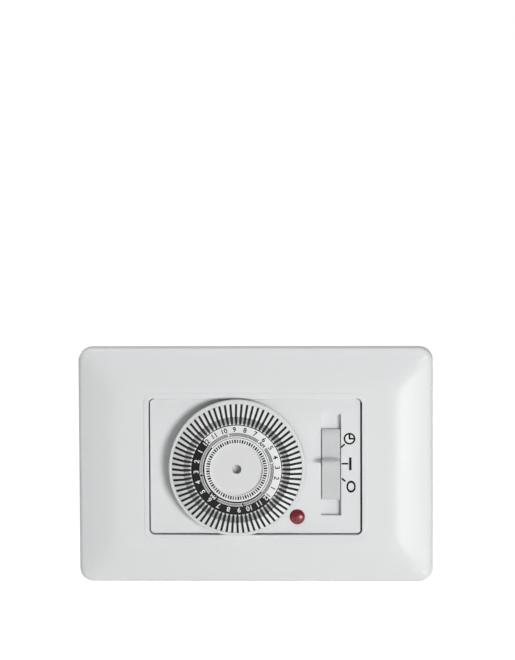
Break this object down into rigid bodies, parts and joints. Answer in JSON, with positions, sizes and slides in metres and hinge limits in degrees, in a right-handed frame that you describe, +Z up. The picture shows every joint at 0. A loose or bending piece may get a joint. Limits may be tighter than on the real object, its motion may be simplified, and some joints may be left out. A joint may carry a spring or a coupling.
{
  "type": "timer switch",
  "caption": "Wall time switch: flush plate, bezel, turning 24 hour dial with push-back trip tabs, sliding mode selector and red pilot light.",
  "frame": {"origin": "centre of the plate on the wall plane, midway between the two fixing slots", "axes": "+Z up, +X to the right as seen from the room, the front faces -Y"},
  "size_m": [0.12, 0.0476, 0.08],
  "materials": {
    "plate_white": "satin moulded",
    "bezel_white": "satin moulded",
    "slider_grey": "fine matt",
    "dial_white": "satin moulded",
    "dial_print": "printed black and white",
    "drum_black": "matt",
    "tab_white": "satin moulded",
    "lens_red": "clear red, glossy",
    "lamp_glass": "clear",
    "case_grey": "fine matt",
    "zinc_steel": "zinc plated",
    "movement_steel": "zinc plated sheet",
    "turned_steel": "turned",
    "brass": "plain",
    "coil_brown": "wound and taped",
    "gear_white": "moulded",
    "rotor_dark": "bonded magnet"
  },
  "bodies": {
    "housing": {"cover_plate": "plate_white", "front_bezel": "bezel_white", "support_frame": "zinc_steel", "rear_case": "case_grey", "case_screws": "zinc_steel", "terminal_clamps": "brass", "terminal_screws": "zinc_steel", "contact_strips": "brass", "indicator_lens": "lens_red", "neon_lamp": "lamp_glass", "movement_plate": "movement_steel", "plate_screws": "zinc_steel", "dial_axle": "turned_steel", "axle_clip": "turned_steel", "intermediate_pin": "turned_steel", "motor_can": "movement_steel", "motor_coil": "coil_brown", "switch_body": "case_grey", "fixed_contacts": "brass", "detent_spring": "turned_steel", "plunger_spring": "turned_steel"},
    "dial_drive": {"dial_gear": "gear_white", "clutch_spring": "turned_steel"},
    "dial": {"dial_drum": "drum_black", "dial_rim": "dial_white", "dial_face": "dial_print", "hub_cap": "dial_white"},
    "intermediate": {"intermediate_gear": "gear_white"},
    "motor_output": {"motor_pinion": "brass", "motor_rotor": "rotor_dark"},
    "selector": {"selector_slider": "slider_grey", "selector_carriage": "gear_white", "wiper_blade": "brass"},
    "follower": {"follower_lever": "gear_white"},
    "plunger": {"switch_plunger": "tab_white", "contact_bridge": "brass"},
    "tabs_00": {"trip_tabs_00": "tab_white"},
    "tabs_01": {"trip_tabs_01": "tab_white"},
    "tabs_02": {"trip_tabs_02": "tab_white"},
    "tabs_03": {"trip_tabs_03": "tab_white"},
    "tabs_04": {"trip_tabs_04": "tab_white"},
    "tabs_05": {"trip_tabs_05": "tab_white"},
    "tabs_06": {"trip_tabs_06": "tab_white"},
    "tabs_07": {"trip_tabs_07": "tab_white"},
    "tabs_08": {"trip_tabs_08": "tab_white"},
    "tabs_09": {"trip_tabs_09": "tab_white"},
    "tabs_10": {"trip_tabs_10": "tab_white"},
    "tabs_11": {"trip_tabs_11": "tab_white"},
    "tabs_12": {"trip_tabs_12": "tab_white"},
    "tabs_13": {"trip_tabs_13": "tab_white"},
    "tabs_14": {"trip_tabs_14": "tab_white"},
    "tabs_15": {"trip_tabs_15": "tab_white"},
    "tabs_16": {"trip_tabs_16": "tab_white"},
    "tabs_17": {"trip_tabs_17": "tab_white"},
    "tabs_18": {"trip_tabs_18": "tab_white"},
    "tabs_19": {"trip_tabs_19": "tab_white"},
    "tabs_20": {"trip_tabs_20": "tab_white"},
    "tabs_21": {"trip_tabs_21": "tab_white"},
    "tabs_22": {"trip_tabs_22": "tab_white"},
    "tabs_23": {"trip_tabs_23": "tab_white"}
  },
  "joints": [
    {"name": "gear_turn", "type": "hinge", "parent": "housing", "child": "dial_drive", "pos_m": [-0.0061, 0, 0], "axis": [0, 1, 0], "continuous": true},
    {"name": "dial_slip", "type": "hinge", "parent": "dial_drive", "child": "dial", "pos_m": [-0.0061, 0, 0], "axis": [0, 1, 0], "continuous": true},
    {"name": "intermediate_turn", "type": "hinge", "parent": "housing", "child": "intermediate", "pos_m": [-0.02254, 0, -0.00599], "axis": [0, 1, 0], "continuous": true},
    {"name": "motor_turn", "type": "hinge", "parent": "housing", "child": "motor_output", "pos_m": [-0.01009, 0, -0.00707], "axis": [0, 1, 0], "continuous": true},
    {"name": "selector_slide", "type": "slide", "parent": "housing", "child": "selector", "axis": [0, 0, 1], "range_m": [-0.005, 0.005], "deforming": ["detent_spring"]},
    {"name": "follower_swing", "type": "hinge", "parent": "housing", "child": "follower", "pos_m": [0.0184, -0.0035, -0.00216], "axis": [0, 0, -1], "range_deg": [0, 16.4]},
    {"name": "plunger_slide", "type": "slide", "parent": "housing", "child": "plunger", "axis": [0, 1, 0], "range_m": [0, 0.0013], "deforming": ["plunger_spring"]},
    {"name": "tab_push_00", "type": "slide", "parent": "dial", "child": "tabs_00", "axis": [0, 1, 0], "range_m": [0, 0.002]},
    {"name": "tab_push_01", "type": "slide", "parent": "dial", "child": "tabs_01", "axis": [0, 1, 0], "range_m": [0, 0.002]},
    {"name": "tab_push_02", "type": "slide", "parent": "dial", "child": "tabs_02", "axis": [0, 1, 0], "range_m": [0, 0.002]},
    {"name": "tab_push_03", "type": "slide", "parent": "dial", "child": "tabs_03", "axis": [0, 1, 0], "range_m": [0, 0.002]},
    {"name": "tab_push_04", "type": "slide", "parent": "dial", "child": "tabs_04", "axis": [0, 1, 0], "range_m": [0, 0.002]},
    {"name": "tab_push_05", "type": "slide", "parent": "dial", "child": "tabs_05", "axis": [0, 1, 0], "range_m": [0, 0.002]},
    {"name": "tab_push_06", "type": "slide", "parent": "dial", "child": "tabs_06", "axis": [0, 1, 0], "range_m": [0, 0.002]},
    {"name": "tab_push_07", "type": "slide", "parent": "dial", "child": "tabs_07", "axis": [0, 1, 0], "range_m": [0, 0.002]},
    {"name": "tab_push_08", "type": "slide", "parent": "dial", "child": "tabs_08", "axis": [0, 1, 0], "range_m": [0, 0.002]},
    {"name": "tab_push_09", "type": "slide", "parent": "dial", "child": "tabs_09", "axis": [0, 1, 0], "range_m": [0, 0.002]},
    {"name": "tab_push_10", "type": "slide", "parent": "dial", "child": "tabs_10", "axis": [0, 1, 0], "range_m": [0, 0.002]},
    {"name": "tab_push_11", "type": "slide", "parent": "dial", "child": "tabs_11", "axis": [0, 1, 0], "range_m": [0, 0.002]},
    {"name": "tab_push_12", "type": "slide", "parent": "dial", "child": "tabs_12", "axis": [0, 1, 0], "range_m": [0, 0.002]},
    {"name": "tab_push_13", "type": "slide", "parent": "dial", "child": "tabs_13", "axis": [0, 1, 0], "range_m": [0, 0.002]},
    {"name": "tab_push_14", "type": "slide", "parent": "dial", "child": "tabs_14", "axis": [0, 1, 0], "range_m": [0, 0.002]},
    {"name": "tab_push_15", "type": "slide", "parent": "dial", "child": "tabs_15", "axis": [0, 1, 0], "range_m": [0, 0.002]},
    {"name": "tab_push_16", "type": "slide", "parent": "dial", "child": "tabs_16", "axis": [0, 1, 0], "range_m": [0, 0.002]},
    {"name": "tab_push_17", "type": "slide", "parent": "dial", "child": "tabs_17", "axis": [0, 1, 0], "range_m": [0, 0.002]},
    {"name": "tab_push_18", "type": "slide", "parent": "dial", "child": "tabs_18", "axis": [0, 1, 0], "range_m": [0, 0.002]},
    {"name": "tab_push_19", "type": "slide", "parent": "dial", "child": "tabs_19", "axis": [0, 1, 0], "range_m": [0, 0.002]},
    {"name": "tab_push_20", "type": "slide", "parent": "dial", "child": "tabs_20", "axis": [0, 1, 0], "range_m": [0, 0.002]},
    {"name": "tab_push_21", "type": "slide", "parent": "dial", "child": "tabs_21", "axis": [0, 1, 0], "range_m": [0, 0.002]},
    {"name": "tab_push_22", "type": "slide", "parent": "dial", "child": "tabs_22", "axis": [0, 1, 0], "range_m": [0, 0.002]},
    {"name": "tab_push_23", "type": "slide", "parent": "dial", "child": "tabs_23", "axis": [0, 1, 0], "range_m": [0, 0.002]}
  ],
  "couplings": [
    {"joint": "intermediate_turn", "follows": "gear_turn", "ratio": -6},
    {"joint": "motor_turn", "follows": "gear_turn", "ratio": 24},
    {"joint": "follower_swing", "follows": "tab_push_02", "rad_per_m": 142.5},
    {"joint": "plunger_slide", "follows": "tab_push_02", "ratio": 0.65}
  ]
}
